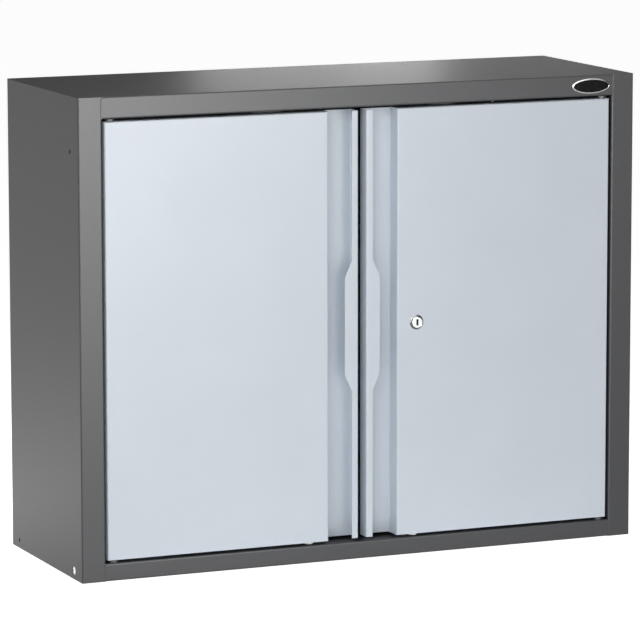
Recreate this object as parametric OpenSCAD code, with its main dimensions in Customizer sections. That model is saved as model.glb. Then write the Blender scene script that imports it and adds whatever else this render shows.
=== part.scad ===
// Tool cabinet with two doors, of folded sheet steel.
// The origin is at the middle of the base. X runs to the right, Y runs from front to back, Z is up.
// Modules draw with Y measured from the front of the frame, and placed() moves that to the origin.

/* [Cabinet] */
// Overall width
cab_w = 880; // [720:10:1100]
// Overall depth
cab_d = 305; // [250:5:400]
// Overall height
cab_h = 700; // [560:10:860]
// Thickness of the carcass sheet
sheet = 1; // [0.8:0.1:1.2]
// Thickness of the back sheet
back_sheet = 0.8; // [0.6:0.1:1.2]
// Radius of every sheet bend, on the middle of the sheet
bend_r = 2; // [1.5:0.1:2.5]
// Width of the front stiles
stile_w = 36; // [30:1:45]
// Depth of the fold behind a stile
stile_depth = 28; // [24:1:34]
// Width of the lip at the back of that fold
stile_lip = 14; // [8:1:20]
// Height of the rail above the doors
top_rail_h = 31.5; // [28:0.5:40]
// Height of the rail below the doors
bottom_rail_h = 26; // [22:0.5:32]
// Depth of the lip below the upper rail
top_lip_d = 46; // [44:1:60]
// Width of the flanges that the back sheet lies on
rear_flange = 20; // [15:1:25]
// Width of the foot flange under each side
foot_flange = 20; // [15:1:25]
// Gap at a seam between two sheets
seam_gap = 0.3; // [0.2:0.1:0.5]
// Distance of the back sheet's edge from the side of the cabinet
back_inset = 1; // [0.5:0.5:3]

/* [Holes in the sides] */
// Radius of the large link hole
link_r = 6; // [5:0.5:7]
// Radius of the small screw holes
screw_hole_r = 3; // [2:0.5:4]
// Distance of the front holes from the front
front_hole_y = 35; // [33:1:45]
// Distance of the rear hole from the back
rear_hole_inset = 34; // [28:1:50]
// Height of the low holes
low_hole_z = 12.5; // [10:0.5:14]
// Distance of the high hole from the top
high_hole_drop = 80; // [60:5:120]

/* [Wall fixing] */
// Radius of the wall screw holes
wall_hole_r = 4.5; // [3:0.5:5.5]
// Distance from a wall hole to the side of the cabinet
wall_hole_side = 90; // [70:5:140]
// Distance from a wall hole to the top or the base
wall_hole_end = 70; // [65:5:110]
// Depth of the wall rails
wall_rail_d = 10; // [8:1:14]
// Width of the face of a wall rail
wall_rail_face = 32; // [26:1:40]
// Width of the flanges of a wall rail
wall_rail_flange = 14; // [10:1:18]

/* [Doors] */
// Thickness of the door sheet
door_sheet = 1; // [0.8:0.1:1.2]
// Gap round each door
door_gap = 4; // [3:0.5:5]
// How far the door's face lies behind the front of the frame
door_face = 0.3; // [0:0.1:1]
// How far the door's back lies behind the front of the frame
door_back = 28; // [22:1:30]
// Gap between the two doors
centre_gap = 12.9; // [10:0.1:18]
// Width of the recess beside the lip
recess_w = 48.5; // [42:0.5:60]
// Width of the lip
lip_w = 10; // [8:0.5:12]
// How far the lip lies behind the front of the frame
lip_face = 2.4; // [1:0.1:4]
// How much shorter than the door the recess is, at each end
recess_short = 1; // [0.5:0.5:2]
// Width of the finger tab, lip included
tab_w = 21.4; // [18:0.2:26]
// Height of the tab at its full width
tab_h = 145; // [110:5:180]
// Height of each sloping end of the tab
tab_slope_h = 26.5; // [20:0.5:40]
// Radius of the corners of the tab
tab_corner_r = 8; // [3:1:10]
// Width of the rear flange round the door
door_flange = 13; // [12:0.5:16]
// Width of the face of the door stiffener
stiffener_w = 36; // [30:1:60]
// Depth of the door stiffener
stiffener_d = 14; // [10:1:18]

/* [Hinges] */
// Distance of the hinge axis from the door's outer edge
hinge_side = 10; // [9:0.5:12]
// Distance of the hinge axis behind the front of the frame
hinge_back = 8; // [7.5:0.5:9]
// Radius of the hinge pins
pin_r = 3; // [2.5:0.1:3.2]
// Radial clearance of a pin in its bush
run_clear = 0.05; // [0.03:0.01:0.08]
// Radial clearance of a piece that is pressed or riveted in
fixed_clear = 0.03; // [0.02:0.01:0.05]
// Wall of the bushes
bush_wall = 1.7; // [1.5:0.1:2]
// Length of a bush inside the door
bush_len = 12; // [8:1:16]
// Gap between a bush and the frame
bush_rest = 0.3; // [0.2:0.1:0.6]
// Thickness of the hinge plates
plate_t = 2.5; // [2:0.5:3]
// Radius of the rivets
rivet_r = 2; // [1.6:0.1:2.4]

/* [Catches] */
// Distance of each catch from the middle of the cabinet
catch_x = 140; // [130:5:180]
// Width of a catch housing
catch_w = 46; // [40:1:56]
// Depth of a catch housing
catch_d = 13; // [12:1:15]
// Height of a catch housing
catch_h = 13; // [12:1:15]
// Width of the magnet
magnet_w = 26; // [20:1:30]
// Thickness of the strike plates
strike_t = 1.2; // [1:0.1:1.5]
// Gap between a magnet and its strike plate
magnet_gap = 0.3; // [0.2:0.1:0.5]
// Radius of the catch screws
screw_r = 1.6; // [1.4:0.1:2]

/* [Lock] */
// Distance of the lock from the edge of the recess
lock_from_recess = 31; // [24:1:45]
// Radius of the rosette
rosette_r = 11; // [10:0.5:13]
// Radius of the lock barrel
barrel_r = 9.3; // [8.8:0.1:9.5]
// Radius of the plug
plug_r = 7; // [6:0.1:7.2]
// Width of the keyway
keyway_w = 2.6; // [1.8:0.1:3]
// Height of the keyway
keyway_h = 9.6; // [7:0.2:10]
// Radius at which the cam's crank pins sit
crank_r = 14; // [13:0.5:16]
// Radius of the crank pins
crank_pin_r = 2; // [1.8:0.1:2.2]
// Width of the lock rods
rod_w = 8; // [6:0.5:9]
// Thickness of the lock rods
rod_t = 3; // [2.5:0.1:3]
// Clearance round a rod in its guides
rod_clear = 0.3; // [0.2:0.1:0.5]

/* [Glides and badge] */
// Distance of the door glides from the middle of the cabinet
glide_x = 83.5; // [80:0.5:86]
// Radius of a glide
glide_r = 7; // [6:0.5:7]
// How far a glide stands out under the door
glide_h = 2.5; // [1.5:0.1:2.7]
// Width of the oval badge
badge_w = 62; // [40:1:80]
// Height of the oval badge
badge_h = 23; // [14:0.5:24]
// Thickness of the badge's rim
badge_t = 2; // [1.5:0.1:3]
// Width of the badge's rim
badge_rim_w = 2.2; // [1:0.1:3]
// Distance of the badge from the stile
badge_side = 4; // [3:0.5:20]
// Height of the badge's centre above the lower edge of its rail
badge_up = 15.5; // [14:0.5:17]

/* [Shelves] */
// Width of a shelf standard
standard_w = 24; // [20:1:30]
// Depth of a shelf standard
standard_d = 9.5; // [9:0.5:14]
// Distance of the front standards behind the front of the frame
standard_front_y = 62; // [60:1:80]
// Distance of the rear standards from the back
standard_rear_y = 50; // [45:1:80]
// Distance from one slot to the next
slot_pitch = 25; // [20:5:50]
// Width of a slot
slot_w = 12; // [10:0.5:14]
// Height of a slot
slot_h = 3; // [2.5:0.5:4]
// Height of the lips of a shelf
shelf_lip_h = 25; // [20:1:30]
// Gap between a shelf and what is beside it
shelf_clear = 0.8; // [0.5:0.1:1]
// How far a shelf's front lies behind the front of the frame
shelf_front_y = 36; // [34:1:44]
// Thickness of the shelf clips
clip_t = 1.5; // [1.2:0.1:2]

/* [Hidden] */
$fn = 48;
bend_steps = 6;
eps = 0.01;
half_w = cab_w / 2;
half_t = sheet / 2;
wall_in = half_w - sheet;
back_in = cab_d - back_sheet;
open_half = half_w - stile_w;
open_low = bottom_rail_h;
open_high = cab_h - top_rail_h;
open_mid = (open_low + open_high) / 2;
rail_half = open_half - seam_gap;
bend_out = bend_r + half_t;

// Side holes, and the flange of the floor that keeps clear of them
rear_hole_y = cab_d - rear_hole_inset;
high_hole_z = cab_h - high_hole_drop;
foot_start = 90;
foot_hole_gap = 10;
foot_end = rear_hole_y - screw_hole_r - foot_hole_gap;
floor_flange_h = 14;
top_flange_h = 14;
rail_return_h = 10;
base_lip_d = 16;

// Wall fixing
wall_hole_x = half_w - wall_hole_side;
wall_hole_zs = [wall_hole_end, cab_h - wall_hole_end];
wall_rail_half = half_w - rear_flange - 2;

// Doors
door_half_t = door_sheet / 2;
door_out = open_half - door_gap;
door_low = open_low + door_gap;
door_high = open_high - door_gap;
lip_x = centre_gap / 2;
step_x = lip_x + recess_w;
skin_in = door_face + door_sheet;
stiffener_shift = 30;
stiffener_x = (step_x + door_out) / 2 + stiffener_shift;
stiffener_flange = 12;
stiffener_short = 30;

// Hinges
hinge_x = door_out - hinge_side;
bush_r = pin_r + run_clear + bush_wall;
bush_flange_w = 2.5;
bush_flange_r = bush_r + bush_flange_w;
pin_end_gap = 2;
pin_reach = bush_len - pin_end_gap;
pin_head_h = 1.5;
pin_head_r = pin_r + pin_head_h;
plate_half = 12;
plate_bend_gap = 0.5;
plate_front = bend_out + plate_bend_gap;
plate_rear = 26;
pin_hole_clear = 0.5;
upper_plate_z = open_high + sheet;
lower_plate_z = open_low - sheet - plate_t;
rivet_dx = 7;
rivet_dy = 12;
rivet_y = hinge_back + rivet_dy;
rivet_head_r = rivet_r * 1.6;
rivet_head_h = 1.2;

// Catches
catch_y = door_back + strike_t + 2 * magnet_gap;
magnet_wall = 2.5;
magnet_low = open_high - catch_h + magnet_wall;
magnet_high = open_high - magnet_wall;
magnet_back_wall = 3;
magnet_rear = catch_y + catch_d - magnet_back_wall;
catch_screw_inset = 5;
catch_screw_dx = catch_w / 2 - catch_screw_inset;
screw_head_r = 2 * screw_r;
screw_head_h = 1.4;
screw_end = 3;
strike_margin = 3;
strike_w = magnet_w + 2 * strike_margin;
strike_edge = 1.25;
strike_h = door_flange - 2 * strike_edge;
strike_rivet_inset = 4;
strike_rivet_dx = strike_w / 2 - strike_rivet_inset;
strike_rivet_r = 1.5;

// Lock, whose crank pins swing from a quarter turn's half below the level to as far above it
lock_x = step_x + lock_from_recess;
lock_z = open_mid;
rosette_t = 1.4;
rosette_bevel = 0.7;
collar_wall = 1;
collar_h = 2.2;
collar_bevel = 0.5;
barrel_len = 15;
nut_h = 3.5;
nut_wall = 3.7;
cam_t = 2.2;
cam_gap = 1.3;
cam_y = door_face + barrel_len + cam_gap;
cam_arm_w = 10;
cam_hub = 0.8;
tang = 6;
tang_clear = 0.1;
keyway_depth = 9;
plug_back_set = 0.3;
plug_gap = 0.1;
cam_back = cam_y + cam_t;
cam_screw_r = 2;
cam_screw_len = 4;
cam_head_r = 3.6;
cam_head_h = 2;
half_turn = 45;
crank_dx = crank_r * (1 + cos(half_turn)) / 2;
crank_dz = crank_r * sin(half_turn);
rod_cam_gap = 0.4;
rod_y = cam_back + rod_cam_gap;
rod_back = rod_y + rod_t;
crank_pin_len = rod_t + 2 * rod_cam_gap;
rod_hook_wall = 3;
// The pin's path bows past a straight line by this much of the crank radius
crank_bow = 0.03;
rod_slot_w = crank_r * (1 - cos(half_turn)) + 2 * crank_pin_r + 2 * rod_clear;
rod_slot_h = 2 * crank_pin_r + 2 * crank_bow * crank_r + 2 * rod_clear;
rod_hook_w = rod_slot_w + 2 * rod_hook_wall;
rod_hook_h = rod_slot_h + 2 * rod_hook_wall;
rod_end = 1.5;
keeper_clear = 0.8;
guide_side = 5;
guide_half_w = rod_w / 2 + guide_side;
guide_half_h = 6;
guide_wall = 1.2;

// Glides and badge
glide_y = 10;
glide_stem_r = 3;
glide_stem_len = 7;
badge_x = open_half - badge_side - badge_w / 2;
badge_z = open_high + badge_up;
badge_sink = 0.8;
badge_plate_t = badge_t - badge_sink;
badge_points = 72;

// Shelves
standard_foot_gap = 4;
standard_low = open_low + standard_foot_gap;
standard_top_gap = 40;
standard_high = cab_h - standard_top_gap;
standard_ys = [standard_front_y, cab_d - standard_rear_y];
standard_face = wall_in - standard_d;
slot_margin = 15;
slot_first = standard_low + slot_margin;
slot_count = floor((standard_high - slot_margin - slot_first) / slot_pitch) + 1;
shelf_half = standard_face - shelf_clear;
shelf_rear_gap = 1;
shelf_rear_y = back_in - wall_rail_d - shelf_rear_gap;
shelf_return = 8;
clip_rise = 9;
clip_ledge = 12;
clip_side_gap = 0.4;
clip_half_w = slot_w / 2 - clip_side_gap;
clip_gap = 0.2;
clip_drop = 8;
hook_len = 1.6;
lower_share = 0.3;
upper_share = 0.65;
lower_slot = round(slot_count * lower_share);
upper_slot = round(slot_count * upper_share);
function slot_z(i) = slot_first + i * slot_pitch;
function shelf_base(i) = slot_z(i) + clip_rise;

carcass_grey = [0.30, 0.31, 0.32];
door_blue = [0.76, 0.80, 0.84];
zinc = [0.70, 0.71, 0.73];
dark_steel = [0.16, 0.16, 0.17];
chrome_grey = [0.82, 0.83, 0.85];
nylon_white = [0.88, 0.89, 0.88];
black = [0.06, 0.06, 0.07];

// ---------------------------------------------------------------- helpers

// Moves what is measured from the front of the frame to the origin's frame
module placed() {
    translate([0, -cab_d / 2, 0]) children();
}

// Mirrors the right-hand shape to the left
module on_left() {
    mirror([1, 0, 0]) children();
}

module block(low, high) {
    translate(low) cube(high - low);
}

module bar_x(y, z, r, x0, x1) {
    translate([x0, y, z]) rotate([0, 90, 0]) cylinder(r = r, h = x1 - x0);
}

module bar_y(x, z, r, y0, y1) {
    translate([x, y0, z]) rotate([-90, 0, 0]) cylinder(r = r, h = y1 - y0);
}

module bar_z(x, y, r, z0, z1) {
    translate([x, y, z0]) cylinder(r = r, h = z1 - z0);
}

// A flat outline in X and Y, made as tall as z0 to z1
module upright(z0, z1) {
    translate([0, 0, z0]) linear_extrude(z1 - z0) children();
}

// A flat outline in Y and Z, made as wide as x0 to x1
module along_x(x0, x1) {
    translate([x0, 0, 0]) rotate([90, 0, 90]) linear_extrude(x1 - x0) children();
}

// A flat outline in X and Z, made as deep as y0 to y1
module facing(y0, y1) {
    translate([0, y1, 0]) rotate([90, 0, 0]) linear_extrude(y1 - y0) children();
}

function unit(v) = v / norm(v);
function left_of(d) = [-d[1], d[0]];
function reversed(v) = [for (i = [len(v) - 1:-1:0]) v[i]];
function heading(path, i) = unit(path[i + 1] - path[i]);

// The arc that a face of the sheet takes round a right-angled bend, shifted to the left of travel
function bend_points(corner, come, go, shift) =
    let (turn = sign(come[0] * go[1] - come[1] * go[0]))
    let (centre = corner + (go - come) * bend_r)
    [for (k = [0:bend_steps])
        let (a = 90 * k / bend_steps)
        centre + (come * sin(a) - go * cos(a)) * (bend_r - turn * shift)];

// One face of a bent sheet, whose middle follows the path
function face_points(path, shift) =
    let (last = len(path) - 1)
    concat(
        [path[0] + left_of(heading(path, 0)) * shift],
        [for (i = [1:last - 1])
            each bend_points(path[i], heading(path, i - 1), heading(path, i), shift)],
        [path[last] + left_of(heading(path, last - 1)) * shift]
    );

// The section of a sheet of this thickness, bent at right angles along the path
module bent_sheet(path, thick) {
    polygon(concat(face_points(path, thick / 2), reversed(face_points(path, -thick / 2))));
}

// A corner of an outline, rounded with an arc that touches both sides
function round_corner(before, corner, after, r) =
    let (to_before = unit(before - corner))
    let (to_after = unit(after - corner))
    let (half = acos(to_before * to_after) / 2)
    let (centre = corner + unit(to_before + to_after) * r / sin(half))
    let (start = corner + to_before * r / tan(half) - centre)
    let (finish = corner + to_after * r / tan(half) - centre)
    [for (k = [0:bend_steps])
        let (t = k / bend_steps)
        centre + unit(start * (1 - t) + finish * t) * r];

function ellipse(w, h) =
    [for (i = [0:badge_points - 1])
        let (a = 360 * i / badge_points)
        [w / 2 * cos(a), h / 2 * sin(a)]];

// ---------------------------------------------------------------- carcass

module side_panel() {
    difference() {
        union() {
            upright(0, cab_h) bent_sheet([
                [half_w - rear_flange, back_in - half_t],
                [half_w - half_t, back_in - half_t],
                [half_w - half_t, half_t],
                [open_half + half_t, half_t],
                [open_half + half_t, stile_depth - half_t],
                [open_half + stile_lip, stile_depth - half_t]
            ], sheet);
            block([half_w - foot_flange, foot_start, 0], [half_w - half_t, foot_end, sheet]);
        }
        // The top plate lies on the folds, behind the stile's face
        block([0, sheet, cab_h - sheet], [wall_in, cab_d, cab_h + sheet]);
        bar_x(front_hole_y, low_hole_z, link_r, wall_in - sheet, half_w + sheet);
        bar_x(rear_hole_y, low_hole_z, screw_hole_r, wall_in - sheet, half_w + sheet);
        bar_x(front_hole_y, high_hole_z, screw_hole_r, wall_in - sheet, half_w + sheet);
    }
}

module left_side_panel() {
    color(carcass_grey) placed() on_left() side_panel();
}

module right_side_panel() {
    color(carcass_grey) placed() side_panel();
}

// The holes of one hinge in the sheet that its plate lies on
module hinge_holes(z0, z1) {
    bar_z(hinge_x, hinge_back, pin_r + pin_hole_clear, z0, z1);
    for (dx = [-rivet_dx, rivet_dx])
        bar_z(hinge_x + dx, rivet_y, rivet_r + fixed_clear, z0, z1);
}

module rod_hole(x, gap, z0, z1) {
    block([x - rod_w / 2 - gap, rod_y - gap, z0], [x + rod_w / 2 + gap, rod_back + gap, z1]);
}

module top_wing() {
    block([rail_half - sheet, bend_out, cab_h - sheet], [wall_in, back_in, cab_h]);
    block([rail_half, sheet, cab_h - sheet], [wall_in, bend_out + sheet, cab_h]);
    block([wall_in - sheet, foot_start, cab_h - top_flange_h], [wall_in, foot_end, cab_h - half_t]);
}

module top_panel() {
    color(carcass_grey) placed() difference() {
        union() {
            along_x(-rail_half, rail_half) bent_sheet([
                [back_in - half_t, cab_h - rear_flange],
                [back_in - half_t, cab_h - half_t],
                [half_t, cab_h - half_t],
                [half_t, open_high + half_t],
                [top_lip_d - half_t, open_high + half_t],
                [top_lip_d - half_t, open_high + rail_return_h]
            ], sheet);
            top_wing();
            on_left() top_wing();
        }
        hinge_holes(open_high - sheet, open_high + 2 * sheet);
        on_left() hinge_holes(open_high - sheet, open_high + 2 * sheet);
        rod_hole(lock_x + crank_dx, keeper_clear, open_high - sheet, open_high + 2 * sheet);
        for (side = [-1, 1]) for (dx = [-catch_screw_dx, catch_screw_dx])
            bar_z(side * catch_x + dx, catch_y + catch_d / 2, screw_r + fixed_clear,
                open_high - sheet, open_high + 2 * sheet);
    }
}

module floor_wing() {
    block([rail_half - sheet, stile_depth + seam_gap, open_low - sheet],
        [wall_in, back_in - sheet - bend_r, open_low]);
    block([wall_in - sheet, foot_start, open_low - floor_flange_h], [wall_in, foot_end, open_low - half_t]);
}

module floor_panel() {
    color(carcass_grey) placed() difference() {
        union() {
            along_x(-rail_half, rail_half) bent_sheet([
                [base_lip_d, half_t],
                [half_t, half_t],
                [half_t, open_low - half_t],
                [back_in - half_t, open_low - half_t],
                [back_in - half_t, 0]
            ], sheet);
            floor_wing();
            on_left() floor_wing();
        }
        hinge_holes(open_low - 2 * sheet, open_low + sheet);
        on_left() hinge_holes(open_low - 2 * sheet, open_low + sheet);
        rod_hole(lock_x - crank_dx, keeper_clear, open_low - 2 * sheet, open_low + sheet);
    }
}

module wall_holes(y0, y1) {
    for (side = [-1, 1]) for (z = wall_hole_zs) bar_y(side * wall_hole_x, z, wall_hole_r, y0, y1);
}

module back_panel() {
    color(carcass_grey) placed() difference() {
        block([back_inset - half_w, back_in, 0], [half_w - back_inset, cab_d, cab_h]);
        wall_holes(back_in - 1, cab_d + 1);
    }
}

module wall_rail(z) {
    low = z - wall_rail_face / 2 + half_t;
    high = z + wall_rail_face / 2 - half_t;
    front = back_in - wall_rail_d + half_t;
    difference() {
        along_x(-wall_rail_half, wall_rail_half) bent_sheet([
            [back_in - half_t, low - wall_rail_flange],
            [back_in - half_t, low],
            [front, low],
            [front, high],
            [back_in - half_t, high],
            [back_in - half_t, high + wall_rail_flange]
        ], sheet);
        wall_holes(back_in - wall_rail_d - 1, back_in);
    }
}

module lower_wall_rail() {
    color(carcass_grey) placed() wall_rail(wall_hole_zs[0]);
}

module upper_wall_rail() {
    color(carcass_grey) placed() wall_rail(wall_hole_zs[1]);
}

// ---------------------------------------------------------------- shelves

module shelf_standard(y) {
    near = y - standard_w / 2 + half_t;
    far = y + standard_w / 2 - half_t;
    difference() {
        upright(standard_low, standard_high) bent_sheet([
            [wall_in, near],
            [standard_face + half_t, near],
            [standard_face + half_t, far],
            [wall_in, far]
        ], sheet);
        for (i = [0:slot_count - 1])
            block([standard_face - sheet, y - slot_w / 2, slot_z(i) - slot_h / 2],
                [standard_face + 2 * sheet, y + slot_w / 2, slot_z(i) + slot_h / 2]);
    }
}

module left_front_shelf_standard() {
    color(carcass_grey) placed() on_left() shelf_standard(standard_ys[0]);
}

module left_rear_shelf_standard() {
    color(carcass_grey) placed() on_left() shelf_standard(standard_ys[1]);
}

module right_front_shelf_standard() {
    color(carcass_grey) placed() shelf_standard(standard_ys[0]);
}

module right_rear_shelf_standard() {
    color(carcass_grey) placed() shelf_standard(standard_ys[1]);
}

// A shelf with folded lips, whose plate lies on the clips in slot i
module shelf(i) {
    plate = shelf_base(i) + half_t;
    low = plate - shelf_lip_h + sheet;
    along_x(-shelf_half, shelf_half) bent_sheet([
        [shelf_front_y + shelf_return, low],
        [shelf_front_y + half_t, low],
        [shelf_front_y + half_t, plate],
        [shelf_rear_y - half_t, plate],
        [shelf_rear_y - half_t, low]
    ], sheet);
}

module upper_shelf() {
    color(carcass_grey) placed() shelf(upper_slot);
}

module lower_shelf() {
    color(carcass_grey) placed() shelf(lower_slot);
}

// A clip that hangs in slot i and carries the shelf on its ledge
module shelf_clip(y, i) {
    top = shelf_base(i);
    tongue = slot_z(i) - slot_h / 2 + clip_gap;
    hook_x = standard_face + sheet + clip_gap;
    block([standard_face - clip_t, y - clip_half_w, tongue - clip_drop],
        [standard_face, y + clip_half_w, top]);
    block([standard_face - clip_ledge, y - clip_half_w, top - clip_t],
        [standard_face - clip_t / 2, y + clip_half_w, top]);
    block([standard_face - clip_t / 2, y - clip_half_w, tongue],
        [hook_x + hook_len, y + clip_half_w, tongue + clip_t]);
    block([hook_x, y - clip_half_w, tongue - clip_drop],
        [hook_x + hook_len, y + clip_half_w, tongue + clip_t / 2]);
}

module shelf_clips(i) {
    for (y = standard_ys) {
        shelf_clip(y, i);
        on_left() shelf_clip(y, i);
    }
}

module upper_shelf_clips() {
    color(zinc) placed() shelf_clips(upper_slot);
}

module lower_shelf_clips() {
    color(zinc) placed() shelf_clips(lower_slot);
}

// ---------------------------------------------------------------- hinges

// A plate behind the rail, with the bore that holds the hinge pin
module hinge_plate(z0) {
    difference() {
        block([hinge_x - plate_half, plate_front, z0], [hinge_x + plate_half, plate_rear, z0 + plate_t]);
        bar_z(hinge_x, hinge_back, pin_r + fixed_clear, z0 - 1, z0 + plate_t + 1);
        for (dx = [-rivet_dx, rivet_dx])
            bar_z(hinge_x + dx, rivet_y, rivet_r + fixed_clear, z0 - 1, z0 + plate_t + 1);
    }
}

module left_upper_hinge_plate() {
    color(carcass_grey) placed() on_left() hinge_plate(upper_plate_z);
}

module left_lower_hinge_plate() {
    color(carcass_grey) placed() on_left() hinge_plate(lower_plate_z);
}

module right_upper_hinge_plate() {
    color(carcass_grey) placed() hinge_plate(upper_plate_z);
}

module right_lower_hinge_plate() {
    color(carcass_grey) placed() hinge_plate(lower_plate_z);
}

module upper_hinge_pin() {
    top = upper_plate_z + plate_t;
    bar_z(hinge_x, hinge_back, pin_r, door_high - pin_reach, top + pin_head_h / 2);
    bar_z(hinge_x, hinge_back, pin_head_r, top, top + pin_head_h);
}

module lower_hinge_pin() {
    bar_z(hinge_x, hinge_back, pin_r, lower_plate_z - pin_head_h / 2, door_low + pin_reach);
    bar_z(hinge_x, hinge_back, pin_head_r, lower_plate_z - pin_head_h, lower_plate_z);
}

module left_upper_hinge_pin() {
    color(dark_steel) placed() on_left() upper_hinge_pin();
}

module left_lower_hinge_pin() {
    color(dark_steel) placed() on_left() lower_hinge_pin();
}

module right_upper_hinge_pin() {
    color(dark_steel) placed() upper_hinge_pin();
}

module right_lower_hinge_pin() {
    color(dark_steel) placed() lower_hinge_pin();
}

// A rivet whose heads clamp the sheets between z0 and z1
module rivet(x, y, z0, z1) {
    bar_z(x, y, rivet_r, z0 - rivet_head_h / 2, z1 + rivet_head_h / 2);
    bar_z(x, y, rivet_head_r, z0 - rivet_head_h, z0);
    bar_z(x, y, rivet_head_r, z1, z1 + rivet_head_h);
}

module hinge_rivet_pair() {
    for (dx = [-rivet_dx, rivet_dx]) {
        rivet(hinge_x + dx, rivet_y, open_high, upper_plate_z + plate_t);
        rivet(hinge_x + dx, rivet_y, lower_plate_z, open_low);
    }
}

module hinge_rivets() {
    color(carcass_grey) placed() {
        hinge_rivet_pair();
        on_left() hinge_rivet_pair();
    }
}

// A flanged bush, whose flange fills the gap between the door and the frame
module bush(inner, outer, flange_end) {
    flange_z = min(outer, flange_end);
    difference() {
        union() {
            bar_z(hinge_x, hinge_back, bush_r, min(inner, outer), max(inner, outer));
            bar_z(hinge_x, hinge_back, bush_flange_r, flange_z, flange_z + abs(flange_end - outer));
        }
        bar_z(hinge_x, hinge_back, pin_r + run_clear,
            min(inner, flange_end) - 1, max(inner, flange_end) + 1);
    }
}

module upper_bush() {
    bush(door_high - bush_len, door_high, open_high - bush_rest);
}

module lower_bush() {
    bush(door_low + bush_len, door_low, open_low + bush_rest);
}

module left_upper_bush() {
    color(black) placed() on_left() upper_bush();
}

module left_lower_bush() {
    color(black) placed() on_left() lower_bush();
}

module right_upper_bush() {
    color(black) placed() upper_bush();
}

module right_lower_bush() {
    color(black) placed() lower_bush();
}

// ---------------------------------------------------------------- catches

module catch_housing() {
    difference() {
        block([catch_x - catch_w / 2, catch_y, open_high - catch_h],
            [catch_x + catch_w / 2, catch_y + catch_d, open_high]);
        block([catch_x - magnet_w / 2 - fixed_clear, catch_y - 1, magnet_low - fixed_clear],
            [catch_x + magnet_w / 2 + fixed_clear, magnet_rear + fixed_clear, magnet_high + fixed_clear]);
        for (dx = [-catch_screw_dx, catch_screw_dx])
            bar_z(catch_x + dx, catch_y + catch_d / 2, screw_r + fixed_clear,
                open_high - catch_h - 1, open_high + 1);
    }
}

module left_catch_housing() {
    color(black) placed() on_left() catch_housing();
}

module right_catch_housing() {
    color(black) placed() catch_housing();
}

module catch_magnets() {
    color(zinc) placed() for (side = [-1, 1])
        block([side * catch_x - magnet_w / 2, catch_y - magnet_gap, magnet_low],
            [side * catch_x + magnet_w / 2, magnet_rear, magnet_high]);
}

module catch_screws() {
    color(zinc) placed() for (side = [-1, 1]) for (dx = [-catch_screw_dx, catch_screw_dx]) {
        x = side * catch_x + dx;
        y = catch_y + catch_d / 2;
        bar_z(x, y, screw_r, open_high - catch_h - screw_head_h / 2, open_high + sheet + screw_end);
        bar_z(x, y, screw_head_r, open_high - catch_h - screw_head_h, open_high - catch_h);
    }
}

module strike_rivet_holes(r, y0, y1) {
    for (dx = [-strike_rivet_dx, strike_rivet_dx])
        bar_y(catch_x + dx, door_high - door_flange / 2, r, y0, y1);
}

module strike_plate() {
    difference() {
        block([catch_x - strike_w / 2, door_back, door_high - door_flange / 2 - strike_h / 2],
            [catch_x + strike_w / 2, door_back + strike_t, door_high - door_flange / 2 + strike_h / 2]);
        strike_rivet_holes(strike_rivet_r + fixed_clear, door_back - 1, door_back + strike_t + 1);
    }
}

// Rivets that end flush with the strike plate, with their heads inside the door
module strike_rivets() {
    flange_in = door_back - door_sheet;
    strike_rivet_holes(strike_rivet_r, flange_in - rivet_head_h / 2, door_back + strike_t);
    strike_rivet_holes(2 * strike_rivet_r, flange_in - rivet_head_h, flange_in);
}

module left_strike_plate() {
    color(zinc) placed() on_left() strike_plate();
}

module right_strike_plate() {
    color(zinc) placed() strike_plate();
}

module left_strike_rivets() {
    color(zinc) placed() on_left() strike_rivets();
}

module right_strike_rivets() {
    color(zinc) placed() strike_rivets();
}

// ---------------------------------------------------------------- doors

// What a rounded front edge leaves out, along X, at the end of the door that dir points to
module edge_waste(z, dir) {
    r = bend_r + door_half_t;
    inner = z - dir * r;
    beyond = z + dir;
    difference() {
        block([step_x - 1, door_face - 1, min(inner, beyond)],
            [door_out + 1, door_face + r, max(inner, beyond)]);
        bar_x(door_face + r, inner, r, step_x - 2, door_out + 2);
    }
}

// The tab that widens the lip, as an outline in X and Z
module finger_tab() {
    near = lip_x + lip_w - door_sheet;
    far = lip_x + tab_w;
    full = tab_h / 2;
    slope = full + tab_slope_h;
    polygon(concat(
        [[near, -slope]],
        round_corner([near, -slope], [far, -full], [far, full], tab_corner_r),
        round_corner([far, -full], [far, full], [near, slope], tab_corner_r),
        [[near, slope]]
    ));
}

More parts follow.
